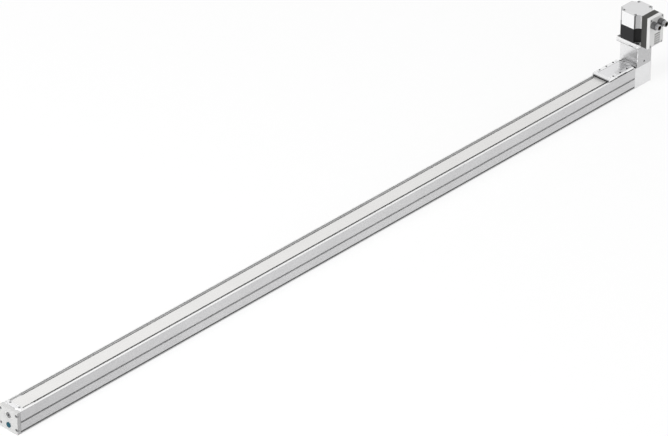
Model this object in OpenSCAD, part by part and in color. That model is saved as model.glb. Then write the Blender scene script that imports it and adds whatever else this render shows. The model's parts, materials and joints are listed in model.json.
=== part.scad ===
// Belt driven linear axis: an open-top extruded profile with an inner ball rail,
// a toothed belt on edge, an outer slide and an upright integrated motor.
// Origin: middle of the profile's underside. +X runs to the drive end, +Z is up,
// and the electronics face -Y. Lengths are millimetres.

/* [Profile] */
// Length of the extruded profile
profile_len = 1628; // [700:4:2400]
// Width of the profile, end cap and drive head
profile_w = 45; // [45:0.5:60]
// Height of the profile and end cap
profile_h = 46; // [46:0.5:58]
// Thickness of the profile's side walls
side_wall = 4.8; // [4.6:0.1:5.8]
// Thickness of the lips beside the cover strip
lip_t = 3.4; // [3.2:0.1:4.6]
// Height of the lips
lip_h = 3; // [2.5:0.25:3.5]
// Distance of the end screw channels from the sides
channel_inset = 2.8; // [2.7:0.1:3]
// Thickness of the profile's floor
floor_t = 6; // [6:0.25:7.5]
// Height of the side groove's centre line
groove_z = 23.5; // [18:0.5:28]
// Width of the mouth of the side groove
groove_w = 4; // [2:0.2:4.4]

/* [Guide] */
// Width of the ball rail
rail_w = 12; // [12:0.5:15]
// Height of the ball rail
rail_h = 8; // [8:0.25:9]
// Greatest spacing of the rail screws
rail_pitch = 80; // [40:5:160]
// Width of the ball runner
runner_w = 27; // [24:0.5:28]
// Height from the rail's seat to the runner's top
guide_h = 13; // [12.5:0.25:13.5]
// Length of the runner's steel body
runner_len = 34; // [28:1:46]
// Diameter of the balls in the runner
ball_d = 1.8; // [1.4:0.1:2]

/* [Belt] */
// Pitch of the belt teeth
belt_pitch = 3; // [3:0.1:3.2]
// Number of teeth on both pulleys, an even number
pulley_teeth = 20; // [18:2:20]
// Width of the belt
belt_w = 15; // [10:0.5:15]
// Thickness of the belt behind its teeth
belt_back = 0.8; // [0.6:0.1:1]
// Height of the belt teeth
tooth_h = 1.1; // [0.9:0.05:1.2]
// Teeth drawn on each strand beside each pulley and around the clamp
drawn_teeth = 32; // [4:1:60]

/* [Cover strip] */
// Width of the steel cover strip
strip_w = 27; // [24:0.5:27.5]
// Thickness of the cover strip
strip_t = 0.5; // [0.3:0.1:0.8]

/* [Slide] */
// Length of the slide
slide_len = 73; // [70:1:88]
// Height of the slide's top above the profile
slide_rise = 6; // [5.5:0.25:8]
// Gap under the slide
slide_gap = 1.5; // [0.4:0.1:2]
// Distance from the slide's drive end to the drive end of the profile
slide_home = 3.5; // [3.5:0.5:160]
// Spacing of the slide's threaded holes along the axis
hole_pitch_x = 20; // [16:1:22]
// Spacing of the slide's threaded holes across the axis
hole_pitch_y = 35; // [34:0.5:36]
// Diameter of the slide's threaded holes
slide_hole_d = 4.2; // [3.3:0.1:5]
// Depth of the slide's threaded holes
slide_hole_depth = 4; // [3:0.25:4]

/* [End cap] */
// Thickness of the end cap
cap_t = 8; // [8:0.5:12]
// Diameter of the port in the end cap
port_d = 7; // [5:0.5:8]

/* [Drive] */
// Length of the drive head
head_len = 48.6; // [48:0.2:60]
// Distance from the profile to the drive shaft's centre line
shaft_offset = 26; // [25:0.5:28]
// Length of the coupling housing
housing_len = 41.5; // [38:0.5:44]
// Height of the coupling housing
housing_h = 46.2; // [45:0.2:58]
// Diameter of the drive shaft
shaft_d = 8; // [7:0.5:8.5]

/* [Motor] */
// Side of the square motor flange and motor body
flange_w = 54.4; // [50:0.2:60]
// Thickness of the adapter plate
plate_t = 3.5; // [3.5:0.5:8]
// Thickness of the motor flange
flange_t = 6; // [5:0.5:8]
// Height of the stator stack
stator_h = 31; // [28:1:60]
// Height of the motor's rear cap
rear_cap_h = 29.5; // [26:0.5:40]
// Radius of the notches in the motor's corners
notch_r = 11.5; // [10:0.5:12]
// Spacing of the motor flange screws
flange_pitch = 44.6; // [43.6:0.2:44.8]

/* [Electronics] */
// Length of the electronics module along the axis
module_len = 45; // [42:1:56]
// Depth of the module's dark body
module_depth = 13.5; // [12:0.5:20]
// Depth of the module's cover
cover_depth = 5.3; // [4.5:0.1:8]
// Length of the module's cut corner
module_corner_x = 9; // [6:0.5:10]
// Height of the module's cut corner
module_corner_z = 7; // [5:0.5:8]
// Spacing of the two round connectors
connector_pitch = 20.5; // [18:0.5:24]
// Outer diameter of the round connectors
connector_d = 12; // [10:0.5:14]
// Length of the round connectors
connector_len = 17; // [14:0.5:24]

/* [Hidden] */
$fn = 48;
slip = 0.05;
press = 0.02;
clear = 0.4;

// Profile levels and half widths
half_len = profile_len / 2;
half_w = profile_w / 2;
cavity_half = half_w - side_wall;
lip_half = half_w - lip_t;
ledge_z = profile_h - lip_h;
cavity_corner = 4.5;
cavity_corner_h = 6;

// Guide and carriage levels
seat_z = floor_t + guide_h;
carriage_t = 4;
belt_z0 = seat_z + carriage_t + 1.5;
belt_mid = belt_z0 + belt_w / 2;
belt_z1 = belt_z0 + belt_w;
rail_start = 56;
rail_end_gap = 2;
rail_len = profile_len - rail_start - rail_end_gap;
rail_mid_x = (rail_start - rail_end_gap) / 2;
rail_screw_count = ceil(rail_len / rail_pitch);
rail_screw_step = rail_len / rail_screw_count;
rail_groove_z = floor_t + rail_h * 0.62;
rail_groove_y = rail_w / 2 + 0.35;

// Belt geometry
pitch_r = pulley_teeth * belt_pitch / (2 * PI);
land_r = pitch_r - 0.25;
tip_r = land_r - tooth_h;
back_r = land_r + belt_back;
tooth_root_w = 0.633 * belt_pitch;
tooth_tip_w = 0.3 * belt_pitch;
pulley_r = land_r - 0.06;
pulley_flange_r = back_r + 1.1;
drive_x = half_len + shaft_offset;
idler_inset = 25;
strand_teeth = round((drive_x + half_len - idler_inset) / belt_pitch);
idler_x = drive_x - strand_teeth * belt_pitch;

// Cover strip and slide levels
strip_z = profile_h - 2;
strip_half = strip_w / 2;
strip_top = strip_z + strip_t;
web_out = cavity_half - 0.5;
web_in = web_out - 3.2;
slide_z0 = profile_h + slide_gap;
slide_z1 = profile_h + slide_rise;
slide_x = half_len - slide_home - slide_len / 2;
carriage_len = slide_len - 7;
plate_w = 27;
plate_len = slide_len - 12;
inlay_t = 1;
slide_screw_len = slide_rise + 5;
clamp_len = 36;
clamp_top = belt_z1 + 3.2;
clamp_screw_z = belt_z1 + 1.7;

// Drive end levels
head_h = strip_z;
head_x0 = half_len;
shaft_r = shaft_d / 2;
bearing_ro = 11;
bearing_ri = shaft_r + slip / 2;
bearing_h = 7;
lower_bearing_z = belt_z0 - 11;
housing_z1 = head_h + housing_h;
housing_x = drive_x + 0.5;
upper_bearing_z = head_h - 3;
bore_r = pulley_flange_r + 1;
coupling_r = 12.5;
coupling_z0 = upper_bearing_z + bearing_h + 1.3;
set_screw_rise = 2.8;
hub_h = 11;
spider_h = 8;
coupling_z1 = coupling_z0 + 2 * hub_h + spider_h;
motor_shaft_r = 3.17;

// Motor levels
flange_z0 = housing_z1 + plate_t;
stator_z0 = flange_z0 + flange_t;
rear_z0 = stator_z0 + stator_h;
motor_top = rear_z0 + rear_cap_h;
pilot_r = 19;
pilot_h = 1.6;
rotor_r = 13;
flange_head_h = 3.2;
stator_bore_r = rotor_r + 0.3;
motor_bearing_ro = 9;
rear_screw_pitch = 29;
motor_bearing_h = 6;
front_bearing_z = flange_z0 - 1;
rear_bearing_z = rear_z0 + 3;
drive_ball_r = 2;
drive_path_r = (bearing_ro + shaft_r) / 2;
motor_ball_r = 1.5;
motor_path_r = (motor_bearing_ro + motor_shaft_r) / 2;
race_gap = 0.8;
screw_head_r = 2.75;

// Electronics module
module_y0 = -flange_w / 2;
module_y1 = module_y0 - module_depth;
cover_y = module_y1 - cover_depth;
module_x1 = drive_x + flange_w / 2;
module_x0 = module_x1 - module_len;
module_mid_x = (module_x0 + module_x1) / 2;
module_z0 = stator_z0 - 6.5;
module_z1 = motor_top;
module_wall = 2;
module_screw_x = module_len / 2 - 6.2;
module_screw_z = [module_z0 + 4, module_z1 - 6.2];
module_boss_r = 3;
connector_z = module_z1 - 16.5;
connector_bore_r = connector_d / 2 - 1.6;
connector_mid_x = module_mid_x - 1.5;
connector_x = [connector_mid_x - connector_pitch / 2, connector_mid_x + connector_pitch / 2];

// Idler end
cap_x0 = -half_len - cap_t;
cap_screw_y = half_w - channel_inset;
cap_screw_z = [9.5, profile_h - 7.5];
port_z = floor_t + 6.3;
carrier_back_x = -half_len + 3;
carrier_wall = idler_x - pulley_flange_r - 1.2 - carrier_back_x;
carrier_front_x = idler_x + 14;
tongue_len = 11;
tongue_t = 3.4;
clamp_screw_y = strip_half - 2.2;
axle_r = 3;
idler_bearing_ro = 6.5;
idler_bearing_h = 5;
tension_screw_r = 2.5;
idler_bearing_z = [belt_z0 + 0.5, belt_z1 - 0.5 - idler_bearing_h];
idler_ball_r = 1.1;
idler_path_r = (idler_bearing_ro + axle_r) / 2;
idler_race_gap = 0.5;

// ---------- helpers ----------

module along_x(length) {
    rotate([90, 0, 90]) linear_extrude(length) children();
}

module both_y() {
    children();
    mirror([0, 1, 0]) children();
}

module rounded_plate(length, width, r, h) {
    linear_extrude(h) {
        square([length - 2 * r, width], center = true);
        square([length, width - 2 * r], center = true);
        for (sx = [-1, 1], sy = [-1, 1])
            translate([sx * (length / 2 - r), sy * (width / 2 - r)]) circle(r);
    }
}

// Socket head screw along -Z with the underside of its head at the origin
module socket_screw(r, length, head_r, head_h) {
    difference() {
        union() {
            cylinder(r = head_r, h = head_h);
            translate([0, 0, -length]) cylinder(r = r, h = length + head_h / 2);
        }
        translate([0, 0, head_h * 0.4]) cylinder(r = head_r * 0.55, h = head_h, $fn = 6);
    }
}

// Countersunk screw along -Z with the flat of its head at the origin
module flat_screw(r, length, head_r) {
    cone_h = head_r - r;
    difference() {
        union() {
            translate([0, 0, -cone_h]) cylinder(r1 = r, r2 = head_r, h = cone_h);
            translate([0, 0, -length]) cylinder(r = r, h = length - cone_h / 2);
        }
        translate([0, 0, -cone_h * 0.8]) cylinder(r = r * 0.75, h = cone_h, $fn = 6);
    }
}

module flat_screw_hole(r, depth, head_r) {
    cone_h = head_r - r;
    translate([0, 0, -depth]) cylinder(r = r + slip, h = depth + 1);
    translate([0, 0, -cone_h]) cylinder(r1 = r + slip, r2 = head_r + slip, h = cone_h);
    cylinder(r = head_r + slip, h = 1);
}

module ring(ro, ri, h) {
    difference() {
        cylinder(r = ro, h = h);
        translate([0, 0, -1]) cylinder(r = ri, h = h + 2);
    }
}

// Race ring with the ball groove on one side, seen as a turned section
module race(r0, r1, h, ball_r, path_r) {
    rotate_extrude() difference() {
        translate([r0, 0]) square([r1 - r0, h]);
        translate([path_r, h / 2]) circle(ball_r + slip);
    }
}

module inner_race(bore_r, h, ball_r, path_r, gap) {
    race(bore_r, path_r - gap, h, ball_r, path_r);
}

module outer_race(outer_r, h, ball_r, path_r, gap) {
    race(path_r + gap, outer_r, h, ball_r, path_r);
}

module ball_ring(count, ball_r, path_r, h) {
    for (i = [0:count - 1])
        rotate(i * 360 / count) translate([path_r, 0, h / 2]) sphere(r = ball_r);
}

module at_corners(dx, dy) {
    for (sx = [-1, 1], sy = [-1, 1]) translate([sx * dx / 2, sy * dy / 2, 0]) children();
}

// ---------- profile ----------

// Outline of the inner cavity, drawn smaller by the clearance c
module cavity_outline(c, top) {
    w = cavity_half - c;
    z = floor_t + c;
    polygon([
        [-w + cavity_corner, z], [w - cavity_corner, z], [w, z + cavity_corner_h],
        [w, top], [-w, top], [-w, z + cavity_corner_h]
    ]);
}

// On each side a sensor slot, its mouth narrower than its channel, above a clamping groove
module side_grooves() {
    for (s = [-1, 1]) scale([s, 1]) {
        translate([half_w - 2, groove_z - groove_w / 2]) square([3, groove_w]);
        translate([half_w - 3, groove_z - groove_w / 2 - 0.8]) square([1.8, groove_w + 1.6]);
        polygon([
            [half_w - 2.8, 2.6], [half_w + 1, 2.6], [half_w + 1, 6],
            [half_w - 0.6, 6], [half_w - 2.8, 7]
        ]);
    }
}

// Chamfered outline shared by the profile and the end cap, drawn smaller by c
module block_outline(c, low_edge, top_edge) {
    w = half_w - c;
    h = profile_h - c;
    polygon([
        [-w, low_edge], [-w + low_edge, 0], [w - low_edge, 0], [w, low_edge],
        [w, h - top_edge], [w - top_edge, h], [-w + top_edge, h], [-w, h - top_edge]
    ]);
}

module profile_section() {
    difference() {
        block_outline(0, 0.5, 0.9);
        cavity_outline(0, ledge_z);
        translate([-lip_half, ledge_z - 0.01]) square([2 * lip_half, lip_h + 1]);
        side_grooves();
    }
}

module rail_screw_places() {
    for (i = [0:rail_screw_count - 1])
        translate([rail_mid_x - rail_len / 2 + (i + 0.5) * rail_screw_step, 0, 0]) children();
}

module end_screw_places() {
    for (s = [-1, 1], z = cap_screw_z) translate([0, s * cap_screw_y, z]) children();
}

module profile() {
    color("gainsboro") difference() {
        translate([-half_len, 0, 0]) along_x(profile_len) profile_section();
        for (x = [-half_len - 1, half_len - 13]) translate([x, 0, 0])
            end_screw_places() rotate([0, 90, 0]) cylinder(r = 1.5 + slip, h = 14);
        rail_screw_places() translate([0, 0, floor_t - 4.5]) cylinder(r = 1.5 + slip, h = 6);
    }
}

// ---------- guide ----------

module guide_rail() {
    color("silver") difference() {
        translate([rail_mid_x - rail_len / 2, 0, 0]) along_x(rail_len) difference() {
            translate([-rail_w / 2, floor_t]) square([rail_w, rail_h]);
            for (s = [-1, 1])
                translate([s * rail_groove_y, rail_groove_z]) circle(ball_d / 2 + slip);
        }
        rail_screw_places() translate([0, 0, floor_t]) {
            translate([0, 0, -1]) cylinder(r = 1.7, h = rail_h + 2);
            translate([0, 0, rail_h - 3.6]) cylinder(r = 3, h = 5);
        }
    }
}

module rail_screws() {
    color("dimgray") rail_screw_places() translate([0, 0, floor_t + rail_h - 3.6])
        socket_screw(1.5, rail_h - 3.6 + 4, screw_head_r, 3);
}

module runner_section() {
    difference() {
        translate([-runner_w / 2, floor_t + 3]) square([runner_w, guide_h - 3]);
        translate([-rail_w / 2 - 0.3, floor_t]) square([rail_w + 0.6, rail_h + 0.3]);
        for (s = [-1, 1])
            translate([s * rail_groove_y, rail_groove_z]) circle(ball_d / 2 + slip);
    }
}

module runner_screw_places() {
    translate([slide_x, 0, 0]) at_corners(20, 20) children();
}

module runner_block() {
    color("silver") difference() {
        translate([slide_x - runner_len / 2, 0, 0]) along_x(runner_len) runner_section();
        runner_screw_places() translate([0, 0, seat_z - 3.5]) cylinder(r = 1.5 + slip, h = 4);
    }
}

module runner_end_caps() {
    end_t = 5;
    color("darkgreen") for (s = [-1, 1])
        translate([slide_x + s * (runner_len + end_t) / 2 - end_t / 2, 0, 0])
            along_x(end_t) difference() {
                translate([-runner_w / 2 + 0.5, floor_t + 3.3])
                    square([runner_w - 1, guide_h - 3.8]);
                translate([-rail_w / 2 - 0.3, floor_t]) square([rail_w + 0.6, rail_h + 0.3]);
                for (sy = [-1, 1])
                    translate([sy * rail_groove_y, rail_groove_z]) circle(ball_d / 2 + slip);
            }
}

module runner_balls() {
    step = ball_d + 0.1;
    count = floor(runner_len / step) - 1;
    color("whitesmoke") for (s = [-1, 1], i = [0:count - 1])
        translate([slide_x + (i - (count - 1) / 2) * step, s * rail_groove_y, rail_groove_z])
            sphere(d = ball_d);
}

module runner_screws() {
    color("dimgray") runner_screw_places() translate([0, 0, seat_z + 1])
        socket_screw(1.5, 4, screw_head_r, 2.6);
}

// ---------- carriage and slide ----------

module carriage() {
    color("lightgray") difference() {
        translate([slide_x - carriage_len / 2, 0, 0]) along_x(carriage_len) union() {
            translate([-web_out, seat_z]) square([2 * web_out, carriage_t]);
            for (s = [-1, 1])
                translate([s * (web_in + web_out) / 2 - (web_out - web_in) / 2, seat_z])
                    square([web_out - web_in, slide_z0 - seat_z]);
        }
        runner_screw_places() translate([0, 0, seat_z - 1]) {
            cylinder(r = 1.7, h = carriage_t + 2);
            translate([0, 0, 2]) cylinder(r = 3, h = carriage_t);
        }
        slide_screw_places() translate([0, 0, slide_z1 - slide_screw_len - 0.1])
            cylinder(r = 1 + slip, h = slide_screw_len);
    }
}

module slide_screw_places() {
    translate([slide_x, 0, 0]) at_corners(hole_pitch_x + 33, web_in + web_out) children();
}

module slide_hole_places() {
    for (i = [-1:1], s = [-1, 1])
        translate([slide_x + i * hole_pitch_x, s * hole_pitch_y / 2, 0]) children();
}

// Wedges that bevel the slide's two ends and two sides
module slide_bevels() {
    run = 5;
    drop = 2;
    for (s = [-1, 1]) scale([s, 1, 1]) translate([slide_len / 2, 0, slide_z1])
        rotate([90, 0, 0]) linear_extrude(profile_w + 2, center = true)
            polygon([[-run, 0], [0, -drop], [1, -drop], [1, 1], [-run, 1]]);
    for (s = [-1, 1]) scale([1, s, 1]) translate([0, half_w, slide_z1])
        rotate([90, 0, 90]) linear_extrude(slide_len + 2, center = true)
            polygon([[-1.6, 0], [0, -1.6], [1, -1.6], [1, 1], [-1.6, 1]]);
}

module slide_table() {
    color("whitesmoke") difference() {
        translate([slide_x, 0, 0]) difference() {
            translate([0, 0, slide_z0])
                rounded_plate(slide_len, profile_w, 3, slide_z1 - slide_z0);
            slide_bevels();
            translate([0, 0, slide_z1 - inlay_t - 0.3])
                rounded_plate(plate_len, plate_w, 2, inlay_t + 1);
            both_y() translate([0, half_w, slide_z0 + 1.5]) rotate([90, 0, 0])
                rounded_plate(28, 1.8, 0.85, 1.5);
            both_y() translate([-18.5, half_w - 2, slide_z0 + 1.5]) rotate([-90, 0, 0])
                cylinder(r = 1, h = 3);
        }
        slide_hole_places() translate([0, 0, slide_z1 - slide_hole_depth])
            cylinder(d = slide_hole_d, h = slide_hole_depth + 1);
        slide_screw_places() translate([0, 0, slide_z1]) flat_screw_hole(1, slide_rise, 1.8);
    }
}

module slide_plate() {
    color("silver") translate([slide_x, 0, slide_z1 - inlay_t - 0.3])
        rounded_plate(plate_len - 0.7, plate_w - 0.7, 1.65, inlay_t);
}

module slide_screws() {
    color("silver") slide_screw_places() translate([0, 0, slide_z1])
        flat_screw(1, slide_screw_len, 1.8);
}

module strip_wipers() {
    wiper_t = 3;
    color("black") for (s = [-1, 1])
        translate([slide_x + s * (slide_len - wiper_t - 0.6) / 2 - wiper_t / 2, 0, 0])
            along_x(wiper_t) translate([-lip_half + clear, strip_top + 0.3])
                square([2 * (lip_half - clear), slide_z0 - strip_top - 0.3]);
}

// The clamp's inner jaw has a groove for each belt tooth it holds
module belt_clamp() {
    grooves = floor(clamp_len / belt_pitch) + 2;
    first = round((slide_x - clamp_len / 2 - idler_x) / belt_pitch) - 0.5;
    color("darkgray") difference() {
        union() {
            translate([slide_x - clamp_len / 2, -web_in, seat_z + carriage_t])
                cube([clamp_len, web_in - back_r - slip, clamp_top - seat_z - carriage_t]);
            translate([slide_x - clamp_len / 2, -land_r + slip, seat_z + carriage_t])
                cube([clamp_len, 5, clamp_top - seat_z - carriage_t]);
        }
        for (i = [0:grooves - 1])
            translate([idler_x + (first + i) * belt_pitch, 0, belt_z0 - 0.3])
                linear_extrude(belt_w + 0.6) tooth_shape(-land_r + slip, 1, 0.1);
        for (i = [-1:1]) translate([slide_x + i * 13, 0, clamp_screw_z])
            rotate([90, 0, 0]) translate([0, 0, 2]) cylinder(r = 1.25 + slip, h = web_in);
    }
}

module belt_clamp_screws() {
    color("dimgray") for (i = [-1:1])
        translate([slide_x + i * 13, -land_r + slip + 5, clamp_screw_z]) rotate([-90, 0, 0])
            socket_screw(1.25, web_in - land_r + 4.5, 1.45, 1.8);
}

// ---------- belt and pulleys ----------

// One tooth as a flat outline on the strand at height y, pointing along +Y for s = 1
module tooth_shape(y, s, c) {
    polygon([
        [-tooth_root_w / 2 - c, y - s], [tooth_root_w / 2 + c, y - s],
        [tooth_root_w / 2 + c, y], [tooth_tip_w / 2 + 2.5 * c, y + s * (tooth_h + c)],
        [-tooth_tip_w / 2 - 2.5 * c, y + s * (tooth_h + c)], [-tooth_root_w / 2 - c, y]
    ]);
}

// Belt tooth corners: along the strand with y sign s, then around an arc
function strand_tooth(x, s, dir) = [
    [x - dir * tooth_root_w / 2, s * land_r], [x - dir * tooth_tip_w / 2, s * tip_r],
    [x + dir * tooth_tip_w / 2, s * tip_r], [x + dir * tooth_root_w / 2, s * land_r]
];
function polar(cx, r, a) = [cx + r * cos(a), r * sin(a)];
function arc_tooth(cx, a) = let (
    root = tooth_root_w / 2 / land_r * 180 / PI,
    tip = tooth_tip_w / 2 / tip_r * 180 / PI
) [
    polar(cx, land_r, a - root), polar(cx, tip_r, a - tip),
    polar(cx, tip_r, a + tip), polar(cx, land_r, a + root)
];
tooth_angle = 360 / pulley_teeth;
wrap_teeth = pulley_teeth / 2;

// The long free middle of each strand is drawn plain, at the thickness between teeth
drawn = [
    for (i = [0:strand_teeth - 1]) if (i < drawn_teeth || i >= strand_teeth - drawn_teeth) i
];
belt_inner = [
    for (i = drawn) each strand_tooth(idler_x + (i + 0.5) * belt_pitch, -1, 1),
    for (j = [0:wrap_teeth - 1]) each arc_tooth(drive_x, -90 + (j + 0.5) * tooth_angle),
    for (i = drawn) each strand_tooth(drive_x - (i + 0.5) * belt_pitch, 1, -1),
    for (j = [0:wrap_teeth - 1]) each arc_tooth(idler_x, 90 + (j + 0.5) * tooth_angle)
];
belt_outer = [
    for (a = [-90:6:90]) polar(drive_x, back_r, a),
    for (a = [90:6:270]) polar(idler_x, back_r, a)
];

module toothed_belt() {
    inner_count = len(belt_inner);
    color("dimgray") translate([0, 0, belt_z0]) linear_extrude(belt_w)
        polygon(
            concat(belt_inner, belt_outer),
            [
                [for (i = [0:inner_count - 1]) i],
                [for (i = [0:len(belt_outer) - 1]) inner_count + i]
            ]
        );
}

// Toothed pulley with two flanges, its belt face centred on the belt
module pulley(bore_radius) {
    rim_w = belt_w + 0.6;
    rim_z = belt_mid - rim_w / 2;
    difference() {
        union() {
            translate([0, 0, rim_z]) linear_extrude(rim_w) difference() {
                circle(pulley_r);
                for (k = [0:pulley_teeth - 1]) rotate((k + 0.5) * tooth_angle)
                    tooth_shape(-pulley_r, 1, 0.1);
            }
            for (z = [rim_z - 1, rim_z + rim_w])
                translate([0, 0, z]) cylinder(r = pulley_flange_r, h = 1);
        }
        translate([0, 0, rim_z - 2]) cylinder(r = bore_radius, h = rim_w + 4);
    }
}

module drive_pulley() {
    color("silver") translate([drive_x, 0, 0]) pulley(shaft_r + press);
}

module drive_shaft() {
    collar_r = shaft_r + 1.5;
    rim_half = belt_w / 2 + 1.3;
    color("lightsteelblue") translate([drive_x, 0, 0]) union() {
        translate([0, 0, lower_bearing_z])
            cylinder(r = shaft_r, h = coupling_z0 + hub_h - lower_bearing_z - 1);
        translate([0, 0, lower_bearing_z + bearing_h])
            cylinder(r = collar_r, h = belt_mid - rim_half - lower_bearing_z - bearing_h);
        translate([0, 0, belt_mid + rim_half])
            cylinder(r = collar_r, h = upper_bearing_z - belt_mid - rim_half);
    }
}

// ---------- bearings on the drive line ----------

module drive_bearing_places() {
    for (z = [lower_bearing_z, upper_bearing_z]) translate([drive_x, 0, z]) children();
}

module motor_bearing_places() {
    for (z = [front_bearing_z, rear_bearing_z]) translate([drive_x, 0, z]) children();
}

module bearing_outer_rings() {
    color("silver") {
        drive_bearing_places()
            outer_race(bearing_ro, bearing_h, drive_ball_r, drive_path_r, race_gap);
        motor_bearing_places()
            outer_race(motor_bearing_ro, motor_bearing_h, motor_ball_r, motor_path_r, race_gap);
    }
}

module bearing_inner_rings() {
    color("silver") {
        drive_bearing_places()
            inner_race(bearing_ri, bearing_h, drive_ball_r, drive_path_r, race_gap);
        motor_bearing_places()
            inner_race(
                motor_shaft_r + slip / 2, motor_bearing_h, motor_ball_r, motor_path_r, race_gap
            );
    }
}

module bearing_balls() {
    color("whitesmoke") {
        drive_bearing_places() ball_ring(7, drive_ball_r, drive_path_r, bearing_h);
        motor_bearing_places() ball_ring(7, motor_ball_r, motor_path_r, motor_bearing_h);
    }
}

// ---------- drive head and coupling ----------

module housing_screw_places() {
    translate([housing_x, 0, 0]) at_corners(housing_len - 8, 2 * (bore_r + 2.3)) children();
}

module drive_head() {
    head_mid = head_x0 + head_len / 2;
    edge = 0.8;
    color("white") difference() {
        translate([head_mid, 0, 0]) rounded_plate(head_len, profile_w, edge, head_h);
        translate([drive_x, 0, belt_z0 - 3.5]) cylinder(r = bore_r, h = head_h);
        translate([drive_x, 0, lower_bearing_z]) cylinder(r = bearing_ro + slip / 2, h = head_h);
        translate([drive_x, 0, lower_bearing_z - 2]) cylinder(r = bearing_ro - 2.5, h = 5);
        translate([head_x0 - 1, -pulley_flange_r - 0.8, belt_z0 - 2])
            cube([shaft_offset + 1, 2 * pulley_flange_r + 1.6, belt_w + 3.2]);
        translate([head_x0, 0, 0]) end_screw_places() rotate([0, 90, 0]) {
            translate([0, 0, -1]) cylinder(r = 1.7, h = head_len + 2);
            translate([0, 0, 8]) cylinder(r = 2.55, h = head_len);
        }
        housing_screw_places() translate([0, 0, head_h - 7]) cylinder(r = 1.5 + slip, h = 8);
        translate([head_x0 + 3.2, 0, 0]) both_y() translate([0, clamp_screw_y, head_h - 5])
            cylinder(r = 1.25 + slip, h = 6);
    }
}

module drive_head_screws() {
    color("dimgray") translate([head_x0 + 8, 0, 0]) end_screw_places()
        rotate([0, 90, 0]) socket_screw(1.5, 18, 2.4, 3);
}

module coupling_housing() {
    color("gainsboro") difference() {
        union() {
            translate([housing_x, 0, head_h])
                rounded_plate(housing_len, profile_w, 0.8, housing_h);
            translate([drive_x, 0, upper_bearing_z]) cylinder(r = bore_r - slip, h = 4);
        }
        translate([drive_x, 0, upper_bearing_z - 1])
            cylinder(r = bearing_ro + slip / 2, h = bearing_h + 1);
        translate([drive_x, 0, upper_bearing_z]) cylinder(r = bearing_ro - 2, h = bearing_h + 2);
        translate([drive_x, 0, coupling_z0 - 0.5]) cylinder(r = coupling_r + 2, h = housing_h);
        translate([drive_x, -half_w - 1, coupling_z0 + set_screw_rise]) rotate([-90, 0, 0])
            cylinder(r = 2, h = half_w - 5);
        housing_screw_places() translate([0, 0, head_h - 1]) {
            cylinder(r = 1.7, h = housing_h + 2);
            translate([0, 0, 7]) cylinder(r = 3, h = housing_h);
        }
        plate_screw_places() translate([0, 0, -9]) cylinder(r = 1.25 + slip, h = 10);
    }
}

module housing_screws() {
    color("dimgray") housing_screw_places() translate([0, 0, head_h + 6])
        socket_screw(1.5, 12, screw_head_r, 3);
}

// Jaw hub: a turned body with three jaws, upward for up = 1
module jaw_hub(bore_radius) {
    difference() {
        union() {
            cylinder(r = coupling_r, h = hub_h);
            intersection() {
                translate([0, 0, hub_h - 0.5]) ring(coupling_r, 4.5, spider_h);
                for (i = [0:2]) rotate(i * 120)
                    translate([0, 0, hub_h - 1]) linear_extrude(spider_h + 2)
                        polygon([[0, 0], polar(0, 20, -19), polar(0, 20, 19)]);
            }
        }
        translate([0, 0, -1]) cylinder(r = bore_radius, h = hub_h + 2);
        translate([0, 0, set_screw_rise]) rotate([90, 0, 0])
            cylinder(r = 1.5 + slip, h = coupling_r + 1);
    }
}

module coupling_hubs() {
    color("silver") translate([drive_x, 0, 0]) {
        translate([0, 0, coupling_z0]) jaw_hub(shaft_r + press);
        translate([0, 0, coupling_z1]) rotate([180, 0, 60]) jaw_hub(motor_shaft_r + press);
    }
}

// Six-armed elastomer star between the jaws
module coupling_spider() {
    z0 = coupling_z0 + hub_h + 0.2;
    color("crimson") translate([drive_x, 0, z0]) intersection() {
        ring(coupling_r - 0.5, 3.4, spider_h - 0.9);
        union() {
            cylinder(r = 4.3, h = spider_h);
            for (i = [0:5]) rotate(30 + i * 60) translate([0, 0, -0.5])
                linear_extrude(spider_h + 1) polygon([[0, 0], polar(0, 20, -10), polar(0, 20, 10)]);
        }
    }
}

module coupling_screws() {
    color("black") translate([drive_x, 0, 0]) {
        translate([0, -shaft_r - 0.1, coupling_z0 + set_screw_rise]) rotate([90, 0, 0])
            cylinder(r = 1.5, h = coupling_r - shaft_r - 1);
        rotate(60) translate([0, motor_shaft_r + 0.1, coupling_z1 - set_screw_rise])
            rotate([-90, 0, 0]) cylinder(r = 1.5, h = coupling_r - motor_shaft_r - 1);
    }
}

// ---------- motor ----------

module flange_screw_places() {
    translate([drive_x, 0, 0]) at_corners(flange_pitch, flange_pitch) children();
}

module adapter_plate() {
    color("whitesmoke") difference() {
        translate([drive_x, 0, housing_z1]) rounded_plate(flange_w, flange_w, 1.5, plate_t);
        translate([drive_x, 0, housing_z1 - 1]) cylinder(r = 13, h = plate_t + 2);
        flange_screw_places() translate([0, 0, housing_z1 - 1])
            cylinder(r = 2 + slip, h = plate_t + 2);
        translate([drive_x - flange_w / 2 - 1, -14.5, housing_z1 - 1]) cube([4, 8.4, 3]);
        translate([drive_x, 0, flange_z0 - pilot_h]) cylinder(r = pilot_r + slip, h = pilot_h + 1);
        plate_screw_places() flat_screw_hole(1.25, plate_t + 1, 2.4);
    }
}

// Screws that hold the adapter plate, flush with the floor of its pilot recess
module plate_screw_places() {
    for (a = [0:90:270])
        translate([drive_x, 0, flange_z0 - pilot_h]) rotate(a) translate([pilot_r - 2.5, 0, 0])
            children();
}

module plate_screws() {
    color("dimgray") plate_screw_places() flat_screw(1.25, 8, 2.4);
}

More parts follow.
